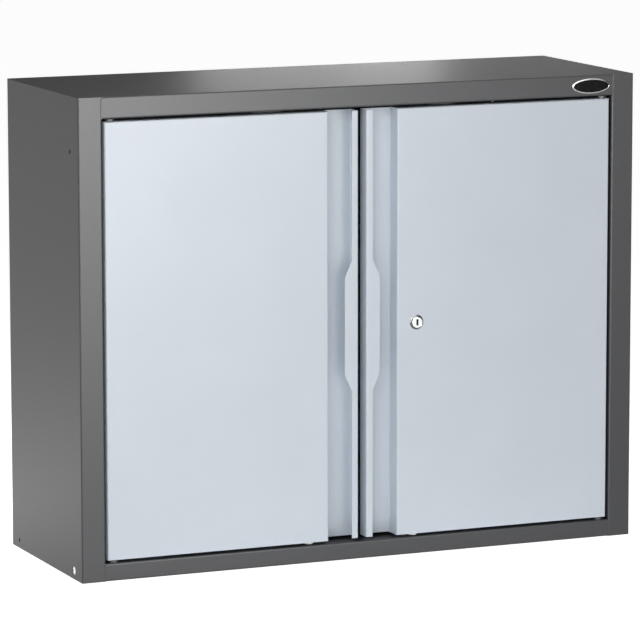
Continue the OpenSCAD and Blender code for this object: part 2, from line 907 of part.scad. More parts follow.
module door_skin() {
    r = bend_r + door_half_t;
    back = door_back - door_half_t;
    near = step_x + door_half_t;
    far = door_out - door_half_t;
    front = door_face + door_half_t;
    // The walls at the top and the bottom end along the middle of the sheet that they join
    end_wall = concat(
        [[near, back]],
        round_corner([near, back], [near, front], [far, front], bend_r),
        round_corner([near, front], [far, front], [far, back], bend_r),
        round_corner([far, front], [far, back], [near, back], bend_r)
    );
    difference() {
        union() {
            // The face, the outer edge and its rear flange, and the recess with its upright lip
            upright(door_low, door_high) bent_sheet([
                [door_out - door_flange, back],
                [far, back],
                [far, front],
                [near, front],
                [near, back],
                [lip_x + door_half_t, back],
                [lip_x + door_half_t, lip_face + door_half_t],
                [lip_x + lip_w, lip_face + door_half_t]
            ], door_sheet);
            for (z = [door_low, door_high - door_sheet]) upright(z, z + door_sheet) polygon(end_wall);
            for (z = [door_low + door_half_t, door_high - door_flange])
                block([step_x - bend_r, door_back - door_sheet, z],
                    [door_out - r, door_back, z + door_flange - door_half_t]);
            translate([0, 0, open_mid]) facing(lip_face, lip_face + door_sheet) finger_tab();
        }
        edge_waste(door_high, 1);
        edge_waste(door_low, -1);
        // The recess stops short of the door's ends
        for (z = [door_low - 1, door_high - recess_short])
            block([0, -1, z], [step_x - eps, door_back + 1, z + 1 + recess_short]);
        bar_z(hinge_x, hinge_back, bush_r + fixed_clear, door_low - 1, door_low + 2 * door_sheet);
        bar_z(hinge_x, hinge_back, bush_r + fixed_clear, door_high - 2 * door_sheet, door_high + 1);
        bar_z(glide_x, glide_y, glide_stem_r + fixed_clear, door_low - 1, door_low + 2 * door_sheet);
        strike_rivet_holes(strike_rivet_r + fixed_clear, door_back - 2 * door_sheet, door_back + 1);
    }
}

module left_door_skin() {
    color(door_blue) placed() on_left() door_skin();
}

module right_door_skin() {
    color(door_blue) placed() difference() {
        door_skin();
        bar_y(lock_x, lock_z, barrel_r + fixed_clear, door_face - 1, skin_in + 1);
        rod_hole(lock_x + crank_dx, rod_clear, door_high - 2 * door_sheet, door_high + 1);
        rod_hole(lock_x - crank_dx, rod_clear, door_low - 1, door_low + 2 * door_sheet);
    }
}

module door_stiffener() {
    rear = skin_in + stiffener_d - door_half_t;
    front = skin_in + door_half_t;
    left = stiffener_x - stiffener_w / 2;
    right = stiffener_x + stiffener_w / 2;
    upright(door_low + stiffener_short, door_high - stiffener_short) bent_sheet([
        [left - stiffener_flange, front],
        [left, front],
        [left, rear],
        [right, rear],
        [right, front],
        [right + stiffener_flange, front]
    ], door_sheet);
}

module left_door_stiffener() {
    color(door_blue) placed() on_left() door_stiffener();
}

module right_door_stiffener() {
    color(door_blue) placed() door_stiffener();
}

module door_glide() {
    bar_z(glide_x, glide_y, glide_r, door_low - glide_h, door_low);
    bar_z(glide_x, glide_y, glide_stem_r, door_low - glide_h / 2, door_low + glide_stem_len);
}

module left_door_glide() {
    color(nylon_white) placed() on_left() door_glide();
}

module right_door_glide() {
    color(nylon_white) placed() door_glide();
}

// ---------------------------------------------------------------- lock

// Turns a shape whose axis is Z, with Z = 0 at the door's face, so that it faces the front
module at_lock() {
    translate([lock_x, door_face, lock_z]) rotate([90, 0, 0]) children();
}

module lock_barrel() {
    bore = plug_r + run_clear;
    collar = bore + collar_wall;
    color(chrome_grey) placed() at_lock() rotate_extrude() polygon([
        [bore, -barrel_len],
        [barrel_r, -barrel_len],
        [barrel_r, 0],
        [rosette_r, 0],
        [rosette_r, rosette_t / 2],
        [rosette_r - rosette_bevel, rosette_t],
        [collar, rosette_t],
        [collar - collar_bevel, rosette_t + collar_h],
        [bore, rosette_t + collar_h]
    ]);
}

module lock_nut() {
    color(zinc) placed() at_lock() translate([0, 0, -door_sheet - nut_h]) difference() {
        cylinder(r = barrel_r + nut_wall, h = nut_h, $fn = 6);
        translate([0, 0, -1]) cylinder(r = barrel_r + fixed_clear, h = nut_h + 2);
    }
}

module lock_plug() {
    plug_rear = cam_y - plug_gap;
    plug_front = door_face - rosette_t - collar_h + plug_back_set;
    color(chrome_grey) placed() difference() {
        union() {
            bar_y(lock_x, lock_z, plug_r, plug_front, plug_rear);
            block([lock_x - tang / 2, plug_rear - 1, lock_z - tang / 2],
                [lock_x + tang / 2, cam_back - plug_gap, lock_z + tang / 2]);
        }
        block([lock_x - keyway_w / 2, plug_front - 1, lock_z - keyway_h / 2],
            [lock_x + keyway_w / 2, plug_front + keyway_depth, lock_z + keyway_h / 2]);
        bar_y(lock_x, lock_z, cam_screw_r + fixed_clear, cam_y - cam_screw_len - 1, cam_back + 1);
    }
}

// The cam lies at rest with its crank pins half a quarter turn round from the level
module lock_cam() {
    color(zinc) placed() translate([lock_x, 0, lock_z]) rotate([0, half_turn, 0]) difference() {
        union() {
            bar_y(0, 0, cam_arm_w * cam_hub, cam_y, cam_back);
            block([-crank_r, cam_y, -cam_arm_w / 2], [crank_r, cam_back, cam_arm_w / 2]);
            for (side = [-1, 1]) {
                bar_y(side * crank_r, 0, cam_arm_w / 2, cam_y, cam_back);
                bar_y(side * crank_r, 0, crank_pin_r, cam_back - cam_t / 2, cam_back + crank_pin_len);
            }
        }
        rotate([0, -half_turn, 0]) block([-tang / 2 - tang_clear, cam_y - 1, -tang / 2 - tang_clear],
            [tang / 2 + tang_clear, cam_back + 1, tang / 2 + tang_clear]);
    }
}

module cam_screw() {
    color(zinc) placed() {
        bar_y(lock_x, lock_z, cam_screw_r, cam_y - cam_screw_len, cam_back + cam_head_h / 2);
        bar_y(lock_x, lock_z, cam_head_r, cam_back, cam_back + cam_head_h);
    }
}

// A lock rod from its slotted hook, where dir is 1 for the upper one and -1 for the lower one
module lock_rod(dir, end_z) {
    x = lock_x + dir * crank_dx;
    hook_z = lock_z - dir * crank_dz;
    difference() {
        union() {
            block([x - rod_w / 2, rod_y, min(hook_z, end_z)], [x + rod_w / 2, rod_back, max(hook_z, end_z)]);
            block([x - rod_hook_w / 2, rod_y, hook_z - rod_hook_h / 2],
                [x + rod_hook_w / 2, rod_back, hook_z + rod_hook_h / 2]);
        }
        block([x - rod_slot_w / 2, rod_y - 1, hook_z - rod_slot_h / 2],
            [x + rod_slot_w / 2, rod_back + 1, hook_z + rod_slot_h / 2]);
    }
}

module upper_lock_rod() {
    color(zinc) placed() lock_rod(1, door_high - rod_end);
}

module lower_lock_rod() {
    color(zinc) placed() lock_rod(-1, door_low + rod_end);
}

module rod_guide(x, z) {
    difference() {
        block([x - guide_half_w, skin_in, z - guide_half_h],
            [x + guide_half_w, rod_back + guide_wall, z + guide_half_h]);
        rod_hole(x, rod_clear, z - guide_half_h - 1, z + guide_half_h + 1);
    }
}

module upper_rod_guide() {
    color(nylon_white) placed() rod_guide(lock_x + crank_dx, (lock_z + door_high) / 2);
}

module lower_rod_guide() {
    color(nylon_white) placed() rod_guide(lock_x - crank_dx, (lock_z + door_low) / 2);
}

// ---------------------------------------------------------------- badge

module badge_rim() {
    color(chrome_grey) placed() translate([badge_x, 0, badge_z]) facing(-badge_t, 0) difference() {
        polygon(ellipse(badge_w, badge_h));
        polygon(ellipse(badge_w - 2 * badge_rim_w, badge_h - 2 * badge_rim_w));
    }
}

module badge_plate() {
    inset = 2 * badge_rim_w + 2 * fixed_clear;
    color(black) placed() translate([badge_x, 0, badge_z]) facing(-badge_plate_t, 0)
        polygon(ellipse(badge_w - inset, badge_h - inset));
}

// ---------------------------------------------------------------- what is drawn

left_side_panel();
right_side_panel();
top_panel();
floor_panel();
back_panel();
upper_wall_rail();
lower_wall_rail();
left_front_shelf_standard();
left_rear_shelf_standard();
right_front_shelf_standard();
right_rear_shelf_standard();
upper_shelf();
lower_shelf();
upper_shelf_clips();
lower_shelf_clips();
left_upper_hinge_plate();
left_lower_hinge_plate();
right_upper_hinge_plate();
right_lower_hinge_plate();
left_upper_hinge_pin();
left_lower_hinge_pin();
right_upper_hinge_pin();
right_lower_hinge_pin();
hinge_rivets();
left_catch_housing();
right_catch_housing();
catch_magnets();
catch_screws();
badge_rim();
badge_plate();
left_door_skin();
left_door_stiffener();
left_upper_bush();
left_lower_bush();
left_door_glide();
left_strike_plate();
left_strike_rivets();
right_door_skin();
right_door_stiffener();
right_upper_bush();
right_lower_bush();
right_door_glide();
right_strike_plate();
right_strike_rivets();
lock_barrel();
lock_nut();
upper_rod_guide();
lower_rod_guide();
lock_plug();
lock_cam();
cam_screw();
upper_lock_rod();
lower_lock_rod();
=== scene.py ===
"""Looks, light and camera for a wall cabinet with two doors. Lengths are in metres, in the frame's own axes."""

import math

import bmesh
import bpy
from mathutils import Matrix, Vector


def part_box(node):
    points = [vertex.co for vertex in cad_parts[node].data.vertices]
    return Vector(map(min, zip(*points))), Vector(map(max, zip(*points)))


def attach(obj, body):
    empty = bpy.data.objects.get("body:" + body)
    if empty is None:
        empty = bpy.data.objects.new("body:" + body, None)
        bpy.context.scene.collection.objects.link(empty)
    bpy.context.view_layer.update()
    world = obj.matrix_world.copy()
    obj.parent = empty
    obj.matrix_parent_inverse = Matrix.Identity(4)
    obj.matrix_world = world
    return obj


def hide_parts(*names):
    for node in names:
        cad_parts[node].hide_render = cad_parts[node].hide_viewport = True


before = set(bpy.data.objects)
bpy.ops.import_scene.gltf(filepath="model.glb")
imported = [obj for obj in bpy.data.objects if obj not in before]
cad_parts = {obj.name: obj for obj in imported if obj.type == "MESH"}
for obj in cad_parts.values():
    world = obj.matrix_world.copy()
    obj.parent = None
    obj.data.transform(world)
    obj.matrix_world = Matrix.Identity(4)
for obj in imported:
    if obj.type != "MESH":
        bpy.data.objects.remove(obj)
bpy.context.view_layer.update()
MM = 0.001

# ---------------------------------------------------------------- camera

# The photograph's view, solved from the corners of the cabinet
CAMERA_PLACE = Vector((-2.5331, -5.8977, 1.3430))
CAMERA_AZIMUTH = math.radians(-23.218)
CAMERA_ELEVATION = math.radians(8.935)
CAMERA_ROLL = math.radians(-0.065)
CAMERA_LENS_MM = 244.52
SENSOR_MM = 36
CAMERA_REACH = 60


def make_camera():
    ahead = Vector((
        -math.sin(CAMERA_AZIMUTH) * math.cos(CAMERA_ELEVATION),
        math.cos(CAMERA_AZIMUTH) * math.cos(CAMERA_ELEVATION),
        -math.sin(CAMERA_ELEVATION),
    ))
    right = ahead.cross(Vector((0, 0, 1))).normalized()
    up = right.cross(ahead)
    rolled_right = right * math.cos(CAMERA_ROLL) + up * math.sin(CAMERA_ROLL)
    rolled_up = up * math.cos(CAMERA_ROLL) - right * math.sin(CAMERA_ROLL)
    data = bpy.data.cameras.new("camera")
    data.lens = CAMERA_LENS_MM
    data.sensor_width = SENSOR_MM
    data.clip_end = CAMERA_REACH
    camera = bpy.data.objects.new("camera", data)
    turn = Matrix((rolled_right, rolled_up, -ahead)).transposed()
    camera.matrix_world = Matrix.Translation(CAMERA_PLACE) @ turn.to_4x4()
    bpy.context.scene.collection.objects.link(camera)
    bpy.context.scene.camera = camera


# ---------------------------------------------------------------- materials


class Look:
    """A node material round one Principled shader, with its pattern fixed to the piece."""

    def __init__(self, name, base, roughness, metallic=0.0):
        self.material = bpy.data.materials.new(name)
        self.material.use_nodes = True
        self.tree = self.material.node_tree
        self.tree.nodes.clear()
        self.shader = self.node("ShaderNodeBsdfPrincipled")
        self.shader.inputs["Base Color"].default_value = (*base, 1)
        self.shader.inputs["Roughness"].default_value = roughness
        self.shader.inputs["Metallic"].default_value = metallic
        output = self.node("ShaderNodeOutputMaterial")
        self.link(self.shader.outputs["BSDF"], output.inputs["Surface"])
        self.place = self.node("ShaderNodeTexCoord").outputs["Object"]
        self.normal = None

    def node(self, kind):
        return self.tree.nodes.new(kind)

    def link(self, start, end):
        self.tree.links.new(start, end)

    def stretched(self, scale):
        """The place on the piece, with each axis scaled."""
        mapping = self.node("ShaderNodeMapping")
        mapping.inputs["Scale"].default_value = scale
        self.link(self.place, mapping.inputs["Vector"])
        return mapping.outputs["Vector"]

    def noise(self, size, detail=2.0, place=None):
        """Soft noise whose lumps are about this size."""
        noise = self.node("ShaderNodeTexNoise")
        noise.inputs["Scale"].default_value = 1 / size
        noise.inputs["Detail"].default_value = detail
        self.link(place or self.place, noise.inputs["Vector"])
        return noise.outputs["Fac"]

    def cells(self, size):
        """Distance to the nearest of many scattered points about this far apart."""
        cells = self.node("ShaderNodeTexVoronoi")
        cells.inputs["Scale"].default_value = 1 / size
        self.link(self.place, cells.inputs["Vector"])
        return cells.outputs["Distance"]

    def spread(self, value, low, high, start=0.3, end=0.7):
        """Maps the middle of a noise's range to low and high."""
        spread = self.node("ShaderNodeMapRange")
        for socket, number in (("From Min", start), ("From Max", end), ("To Min", low), ("To Max", high)):
            spread.inputs[socket].default_value = number
        self.link(value, spread.inputs["Value"])
        return spread.outputs["Result"]

    def colours(self, value, first, second, start=0.3, end=0.7):
        """Goes from the first colour to the second as the value rises."""
        ramp = self.node("ShaderNodeValToRGB")
        ramp.color_ramp.elements[0].position = start
        ramp.color_ramp.elements[0].color = (*first, 1)
        ramp.color_ramp.elements[1].position = end
        ramp.color_ramp.elements[1].color = (*second, 1)
        self.link(value, ramp.inputs["Fac"])
        return ramp.outputs["Color"]

    def colour_from(self, colour):
        self.link(colour, self.shader.inputs["Base Color"])

    def roughness_from(self, value):
        self.link(value, self.shader.inputs["Roughness"])

    def soft_edges(self, radius):
        """Catches the light on edges as if they were rounded by this radius."""
        bevel = self.node("ShaderNodeBevel")
        bevel.samples = 6
        bevel.inputs["Radius"].default_value = radius
        self.normal = bevel.outputs["Normal"]
        self.link(self.normal, self.shader.inputs["Normal"])

    def edge_share(self):
        """1 on a rounded edge and 0 away from it."""
        plain = self.node("ShaderNodeNewGeometry").outputs["Normal"]
        across = self.node("ShaderNodeVectorMath")
        across.operation = "DOT_PRODUCT"
        self.link(plain, across.inputs[0])
        self.link(self.normal, across.inputs[1])
        return self.spread(across.outputs["Value"], 1.0, 0.0, 0.86, 0.99)

    def relief(self, height, depth):
        """Raises the surface by up to this depth where the height is 1."""
        bump = self.node("ShaderNodeBump")
        bump.inputs["Distance"].default_value = depth
        self.link(height, bump.inputs["Height"])
        if self.normal:
            self.link(self.normal, bump.inputs["Normal"])
        self.normal = bump.outputs["Normal"]
        self.link(self.normal, self.shader.inputs["Normal"])


def scaled(colour, factor):
    return tuple(channel * factor for channel in colour)


def powder_coat(name, base, roughness, fleck):
    """Baked powder paint: fine orange peel, small flecks, and rounded edges whose colour is lifted, mostly as a
    painted highlight and partly for the thinner coat there.
    """
    look = Look(name, base, roughness)
    look.shader.inputs["Specular IOR Level"].default_value = 0.38
    look.soft_edges(0.5 * MM)
    edge = look.edge_share()
    grain = look.noise(0.7 * MM, 3.0)
    cloud = look.noise(120 * MM, 2.0)
    fine = look.colours(grain, scaled(base, 1 - fleck), scaled(base, 1 + fleck))
    broad = look.colours(cloud, scaled(base, 0.97), scaled(base, 1.03))
    even = look.node("ShaderNodeMix")
    even.data_type = "RGBA"
    look.link(fine, even.inputs["A"])
    look.link(broad, even.inputs["B"])
    # The edges' colour lifted towards a lighter paint: mostly a painted highlight, partly the thinner coat
    # there.
    edge_highlight = look.node("ShaderNodeMix")
    edge_highlight.data_type = "RGBA"
    edge_highlight.inputs["B"].default_value = (*scaled(base, 1.25), 1)
    look.link(look.spread(edge, 0.0, 0.5, 0.0, 1.0), edge_highlight.inputs["Factor"])
    look.link(even.outputs["Result"], edge_highlight.inputs["A"])
    look.colour_from(edge_highlight.outputs["Result"])
    look.roughness_from(look.spread(look.noise(2.5 * MM, 2.0), roughness - 0.05, roughness + 0.05))
    look.relief(look.noise(1.3 * MM, 2.0), 0.02 * MM)
    return look.material


def zinc_plate():
    """Bright zinc over rolled steel: long fine rolling marks, a faint warm and cool cloud."""
    look = Look("zinc_plate", (0.62, 0.63, 0.65), 0.36, 1.0)
    look.soft_edges(0.25 * MM)
    marks = look.noise(0.6 * MM, 4.0, look.stretched((1, 1, 0.05)))
    look.colour_from(look.colours(look.noise(14 * MM, 3.0), (0.60, 0.61, 0.63), (0.70, 0.69, 0.66)))
    look.roughness_from(look.spread(marks, 0.28, 0.46))
    look.relief(marks, 0.006 * MM)
    return look.material


def polished_chrome():
    """Polished chrome with hairline wiping marks and a few dull spots."""
    look = Look("polished_chrome", (0.86, 0.87, 0.89), 0.12, 1.0)
    look.soft_edges(0.2 * MM)
    hairs = look.noise(0.25 * MM, 4.0, look.stretched((1, 1, 0.08)))
    look.colour_from(look.colours(look.noise(3 * MM, 2.0), (0.82, 0.83, 0.85), (0.90, 0.91, 0.93)))
    look.roughness_from(look.spread(hairs, 0.08, 0.2))
    look.relief(hairs, 0.002 * MM)
    return look.material


def moulded_nylon():
    """Natural nylon: waxy, slightly cloudy, with the fine grain of its mould."""
    look = Look("moulded_nylon", (0.80, 0.81, 0.79), 0.42)
    look.shader.inputs["Subsurface Weight"].default_value = 0.15
    look.shader.inputs["Subsurface Radius"].default_value = (1.0 * MM, 0.9 * MM, 0.8 * MM)
    look.soft_edges(0.3 * MM)
    look.colour_from(look.colours(look.noise(4 * MM, 3.0), (0.76, 0.77, 0.75), (0.85, 0.86, 0.84)))
    look.roughness_from(look.spread(look.noise(1.5 * MM), 0.36, 0.5))
    look.relief(look.noise(0.5 * MM, 2.0), 0.01 * MM)
    return look.material


def moulded_black():
    """Black moulded plastic with a spark-eroded texture."""
    look = Look("moulded_black", (0.02, 0.02, 0.022), 0.5)
    look.soft_edges(0.3 * MM)
    look.colour_from(look.colours(look.noise(3 * MM, 3.0), (0.016, 0.016, 0.018), (0.03, 0.03, 0.032)))
    look.roughness_from(look.spread(look.noise(0.8 * MM), 0.42, 0.6))
    look.relief(look.cells(0.5 * MM), 0.02 * MM)
    return look.material


def ground_magnet():
    """Sintered magnet: dark, ground flat, with fine pits."""
    look = Look("ground_magnet", (0.10, 0.10, 0.105), 0.55, 0.6)
    look.soft_edges(0.2 * MM)
    look.colour_from(look.colours(look.noise(1.2 * MM, 4.0), (0.07, 0.07, 0.075), (0.15, 0.15, 0.155)))
    look.roughness_from(look.spread(look.noise(0.6 * MM), 0.45, 0.65))
    look.relief(look.noise(0.4 * MM, 3.0), 0.01 * MM)
    return look.material


def badge_enamel():
    """Satin black enamel with the faintest ripple."""
    look = Look("badge_enamel", (0.006, 0.006, 0.007), 0.25)
    look.shader.inputs["Specular IOR Level"].default_value = 0.06
    look.colour_from(look.colours(look.noise(8 * MM, 2.0), (0.005, 0.005, 0.006), (0.009, 0.009, 0.010)))
    look.roughness_from(look.spread(look.noise(5 * MM), 0.28, 0.38))
    look.relief(look.noise(6 * MM, 1.0), 0.02 * MM)
    return look.material


def chrome_painted_darker(name, shade):
    """Chrome painted darker, in some shade from black to grey, as painted shade on plated parts; a little
    cloudy and unevenly dull.
    """
    base = (shade, shade, shade * 1.03)
    look = Look(name, base, 0.25, 1.0)
    look.colour_from(look.colours(look.noise(2.5 * MM, 2.0), scaled(base, 0.88), scaled(base, 1.14)))
    look.roughness_from(look.spread(look.noise(0.4 * MM, 3.0), 0.2, 0.32))
    look.relief(look.noise(0.3 * MM, 2.0), 0.002 * MM)
    return look.material


def dark_steel():
    """Blackened steel, greasy and dull. Lining the keyway, it is painted shade."""
    look = Look("dark_steel", (0.012, 0.012, 0.012), 0.5)
    look.colour_from(look.colours(look.noise(1 * MM, 3.0), (0.008, 0.008, 0.008), (0.02, 0.019, 0.018)))
    look.roughness_from(look.spread(look.noise(0.6 * MM), 0.4, 0.65))
    look.relief(look.noise(0.3 * MM, 3.0), 0.02 * MM)
    return look.material


CARCASS_GREY = (0.036, 0.037, 0.040)
DOOR_BLUE = (0.65, 0.71, 0.775)

# Blackened steel, which also lines the keyway as painted shade.
DARK_STEEL_AND_SHADE = dark_steel()
# Darker copies of the chrome: painted shade on the lock's sloped ring and on the badge's rim.
CHROME_PAINTED_DARK = chrome_painted_darker("chrome_painted_dark_shade", 0.12)
CHROME_PAINTED_GREY = chrome_painted_darker("chrome_painted_grey_shade", 0.38)

LOOKS = {
    "carcass_paint": powder_coat("anthracite_coat", CARCASS_GREY, 0.42, 0.10),
    "door_paint": powder_coat("pale_blue_coat", DOOR_BLUE, 0.42, 0.03),
    "zinc_steel": zinc_plate(),
    "dark_steel": DARK_STEEL_AND_SHADE,
    "chrome": polished_chrome(),
    "nylon": moulded_nylon(),
    "black_plastic": moulded_black(),
    "magnet": ground_magnet(),
    "badge_face": badge_enamel(),
}


def paint_cad_nodes():
    """Each CAD node keeps its shape, and takes the look of the slot that it was packed with."""
    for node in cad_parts.values():
        for slot in node.material_slots:
            slot.material = LOOKS[slot.material.name]


# ---------------------------------------------------------------- mesh tools

# Edges that turn by more than this stay sharp
SHARP_ANGLE = math.radians(35)


def add_piece(name, mesh, slot, body, stands_for=(), material=None):
    """Makes a shown piece of a finished bmesh, in the frame's axes. It takes its slot's look, or its own."""
    bmesh.ops.recalc_face_normals(mesh, faces=mesh.faces)
    data = bpy.data.meshes.new(name)
    mesh.to_mesh(data)
    mesh.free()
    for face in data.polygons:
        face.use_smooth = True
    data.set_sharp_from_angle(angle=SHARP_ANGLE)
    data.materials.append(material or LOOKS[slot])
    piece = bpy.data.objects.new(name, data)
    bpy.context.scene.collection.objects.link(piece)
    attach(piece, body)
    if stands_for:
        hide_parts(*stands_for)
    return piece


def facing(place, outward):
    """The matrix that puts a shape's +Z along outward, with its origin at place."""
    return Matrix.Translation(place) @ Vector(outward).to_track_quat("Z", "Y").to_matrix().to_4x4()


def add_lathe(mesh, profile, matrix, segments=64):
    """Turns a profile of radius and height pairs round Z. Where the radius is 0 the shape closes."""
    rings = []
    for radius, height in profile:
        if radius == 0:
            rings.append([mesh.verts.new(matrix @ Vector((0, 0, height)))])
            continue
        angles = [2 * math.pi * k / segments for k in range(segments)]
        rings.append([
            mesh.verts.new(matrix @ Vector((radius * math.cos(a), radius * math.sin(a), height)))
            for a in angles
        ])
    for low, high in zip(rings, rings[1:]):
        for k in range(segments):
            after = (k + 1) % segments
            corners = [low[k % len(low)], low[after % len(low)], high[after % len(high)], high[k % len(high)]]
            mesh.faces.new(list(dict.fromkeys(corners)))


def arc(centre, radius, start, end, steps=6):
    """Points of a quarter or other arc, in degrees, for a profile."""
    angles = [math.radians(start + (end - start) * k / steps) for k in range(steps + 1)]
    return [(centre[0] + radius * math.cos(a), centre[1] + radius * math.sin(a)) for a in angles]


# ---------------------------------------------------------------- pieces

# The front frame: where the rails end beside the stiles, and the edges of the opening
RAIL_HALF = 403.7 * MM
RAIL_LOW_TOP = 26 * MM
RAIL_HIGH_BASE = 668.5 * MM


def door_glides():
    """Nylon glides under the doors, with a rounded sole."""
    for side in ("left", "right"):
        low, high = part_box(f"{side}_door_glide")
        centre = (low + high) / 2
        radius = (high.x - low.x) / 2
        disc = 2.5 * MM
        edge = 1.2 * MM
        stem = 3 * MM
        stem_chamfer = 1 * MM
        height = high.z - low.z
        profile = [(0, 0), *arc((radius - edge, edge), edge, -90, 0), (radius, disc), (stem, disc),
                   (stem, height - stem_chamfer), (stem - stem_chamfer, height), (0, height)]
        mesh = bmesh.new()
        add_lathe(mesh, profile, Matrix.Translation((centre.x, centre.y, low.z)))
        add_piece(f"{side}_glide", mesh, "nylon", f"{side}_door", [f"{side}_door_glide"])


def oval_ring(mesh, centre, half_w, half_h, rise, points=96):
    """One oval loop of vertices, this far in front of the rail."""
    angles = [2 * math.pi * k / points for k in range(points)]
    return [
        mesh.verts.new(centre + Vector((half_w * math.cos(a), -rise, half_h * math.sin(a)))) for a in angles
    ]


def bridge(mesh, rings):
    for low, high in zip(rings, rings[1:]):
        for k in range(len(low)):
            after = (k + 1) % len(low)
            mesh.faces.new([low[k], low[after], high[after], high[k]])


def badge():
    """A bare oval badge: a plated rim that rises inwards round a domed dark face, with nothing on it; the rim's
    chrome is painted grey, as painted shade.
    """
    low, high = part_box("badge_rim")
    centre = Vector(((low.x + high.x) / 2, high.y, (low.z + high.z) / 2))
    half_w, half_h, rise = (high.x - low.x) / 2, (high.z - low.z) / 2, high.y - low.y
    plate_low, plate_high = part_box("badge_plate")
    rim_w = high.x - plate_high.x
    # Shares of the rim's width, going inwards, and of its height
    section = [
        (0, 0), (0, 0.3), (0.05, 0.4), (0.3, 0.64), (0.6, 0.88),
        (0.85, 1), (0.93, 0.97), (0.99, 0.8), (1, 0.6), (1, 0),
    ]
    mesh = bmesh.new()
    rings = [
        oval_ring(mesh, centre, half_w - rim_w * inward, half_h - rim_w * inward, rise * up)
        for inward, up in section
    ]
    bridge(mesh, [*rings, rings[0]])
    # The rim is chrome painted grey: painted shade that dims its reflections.
    add_piece("badge_bright_rim", mesh, "chrome", "cabinet", ["badge_rim"], CHROME_PAINTED_GREY)

    low, high = plate_low, plate_high
    half_w, half_h = (high.x - low.x) / 2, (high.z - low.z) / 2
    dome = 0.5 * MM
    steps = 8
    mesh = bmesh.new()
    rings = [oval_ring(mesh, centre, half_w, half_h, 0)]
    for k in range(steps):
        share = 1 - k / steps
        up = (high.y - low.y) + dome * (1 - share ** 2)
        rings.append(oval_ring(mesh, centre, half_w * share, half_h * share, up))
    bridge(mesh, rings)
    mesh.faces.new(rings[0])
    mesh.faces.new(rings[-1])
    add_piece("badge_blank_face", mesh, "badge_face", "cabinet", ["badge_plate"])


def lock_front():
    """The lock's barrel, a proud bright collar on a threaded shank, and the ring that slopes round it, whose
    chrome is painted dark as painted shade.
    """
    low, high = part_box("lock_barrel")
    centre = (low + high) / 2
    rosette = (high.x - low.x) / 2
    proud = 3.6 * MM
    door_face = low.y + proud
    bore = 7.12 * MM
    collar = 8.05 * MM
    collar_round = 0.45 * MM
    ring_in = 8.1 * MM
    groove_w = 0.3 * MM
    groove_floor = 0.3 * MM
    crest = (9.1 * MM, 1.4 * MM)
    crest_round = (0.15 * MM, 0.1 * MM)
    slope_end = (10.85 * MM, 0.15 * MM)
    rosette_edge = 0.05 * MM
    shank = 9.3 * MM
    thread = 1.0 * MM
    thread_depth = 0.35 * MM
    thread_start = 1.5 * MM
    shank_chamfer = 0.6 * MM
    length = high.y - door_face
    segments = 96
    same_place = 0.001 * MM
    matrix = facing((centre.x, door_face, centre.z), (0, -1, 0))

    # Both profiles end where they start, and taking out the doubles closes them
    barrel = [(bore, proud), *arc((collar - collar_round, proud - collar_round), collar_round, 90, 0, 5),
              (collar, 0), (shank, 0), (shank, -thread_start)]
    for k in range(int((length - thread_start - thread) / thread)):
        top = -thread_start - k * thread
        barrel += [(shank - thread_depth, top - thread / 2), (shank, top - thread)]
    barrel += [(shank - shank_chamfer, -length), (bore, -length), (bore, proud)]
    ring = [
        (ring_in, 0), (ring_in, groove_floor), (ring_in + groove_w, groove_floor),
        (crest[0] - crest_round[0], crest[1] - crest_round[1]), crest,
        slope_end, (rosette, rosette_edge), (rosette, 0), (ring_in, 0),
    ]
    # The sloped ring is chrome painted dark: painted shade on it.
    for name, profile, material in (
        ("lock_turned_barrel", barrel, None),
        ("lock_sloped_ring", ring, CHROME_PAINTED_DARK),
    ):
        mesh = bmesh.new()
        add_lathe(mesh, profile, matrix, segments)
        bmesh.ops.remove_doubles(mesh, verts=mesh.verts, dist=same_place)
        add_piece(name, mesh, "chrome", "right_door", ["lock_barrel"], material)


def add_block(mesh, low, high):
    """A plain box between two corners."""
    corners = [
        mesh.verts.new((x, y, z))
        for x in (low[0], high[0]) for y in (low[1], high[1]) for z in (low[2], high[2])
    ]
    for face in ((0, 1, 3, 2), (4, 6, 7, 5), (0, 4, 5, 1), (2, 3, 7, 6), (0, 2, 6, 4), (1, 5, 7, 3)):
        mesh.faces.new([corners[k] for k in face])


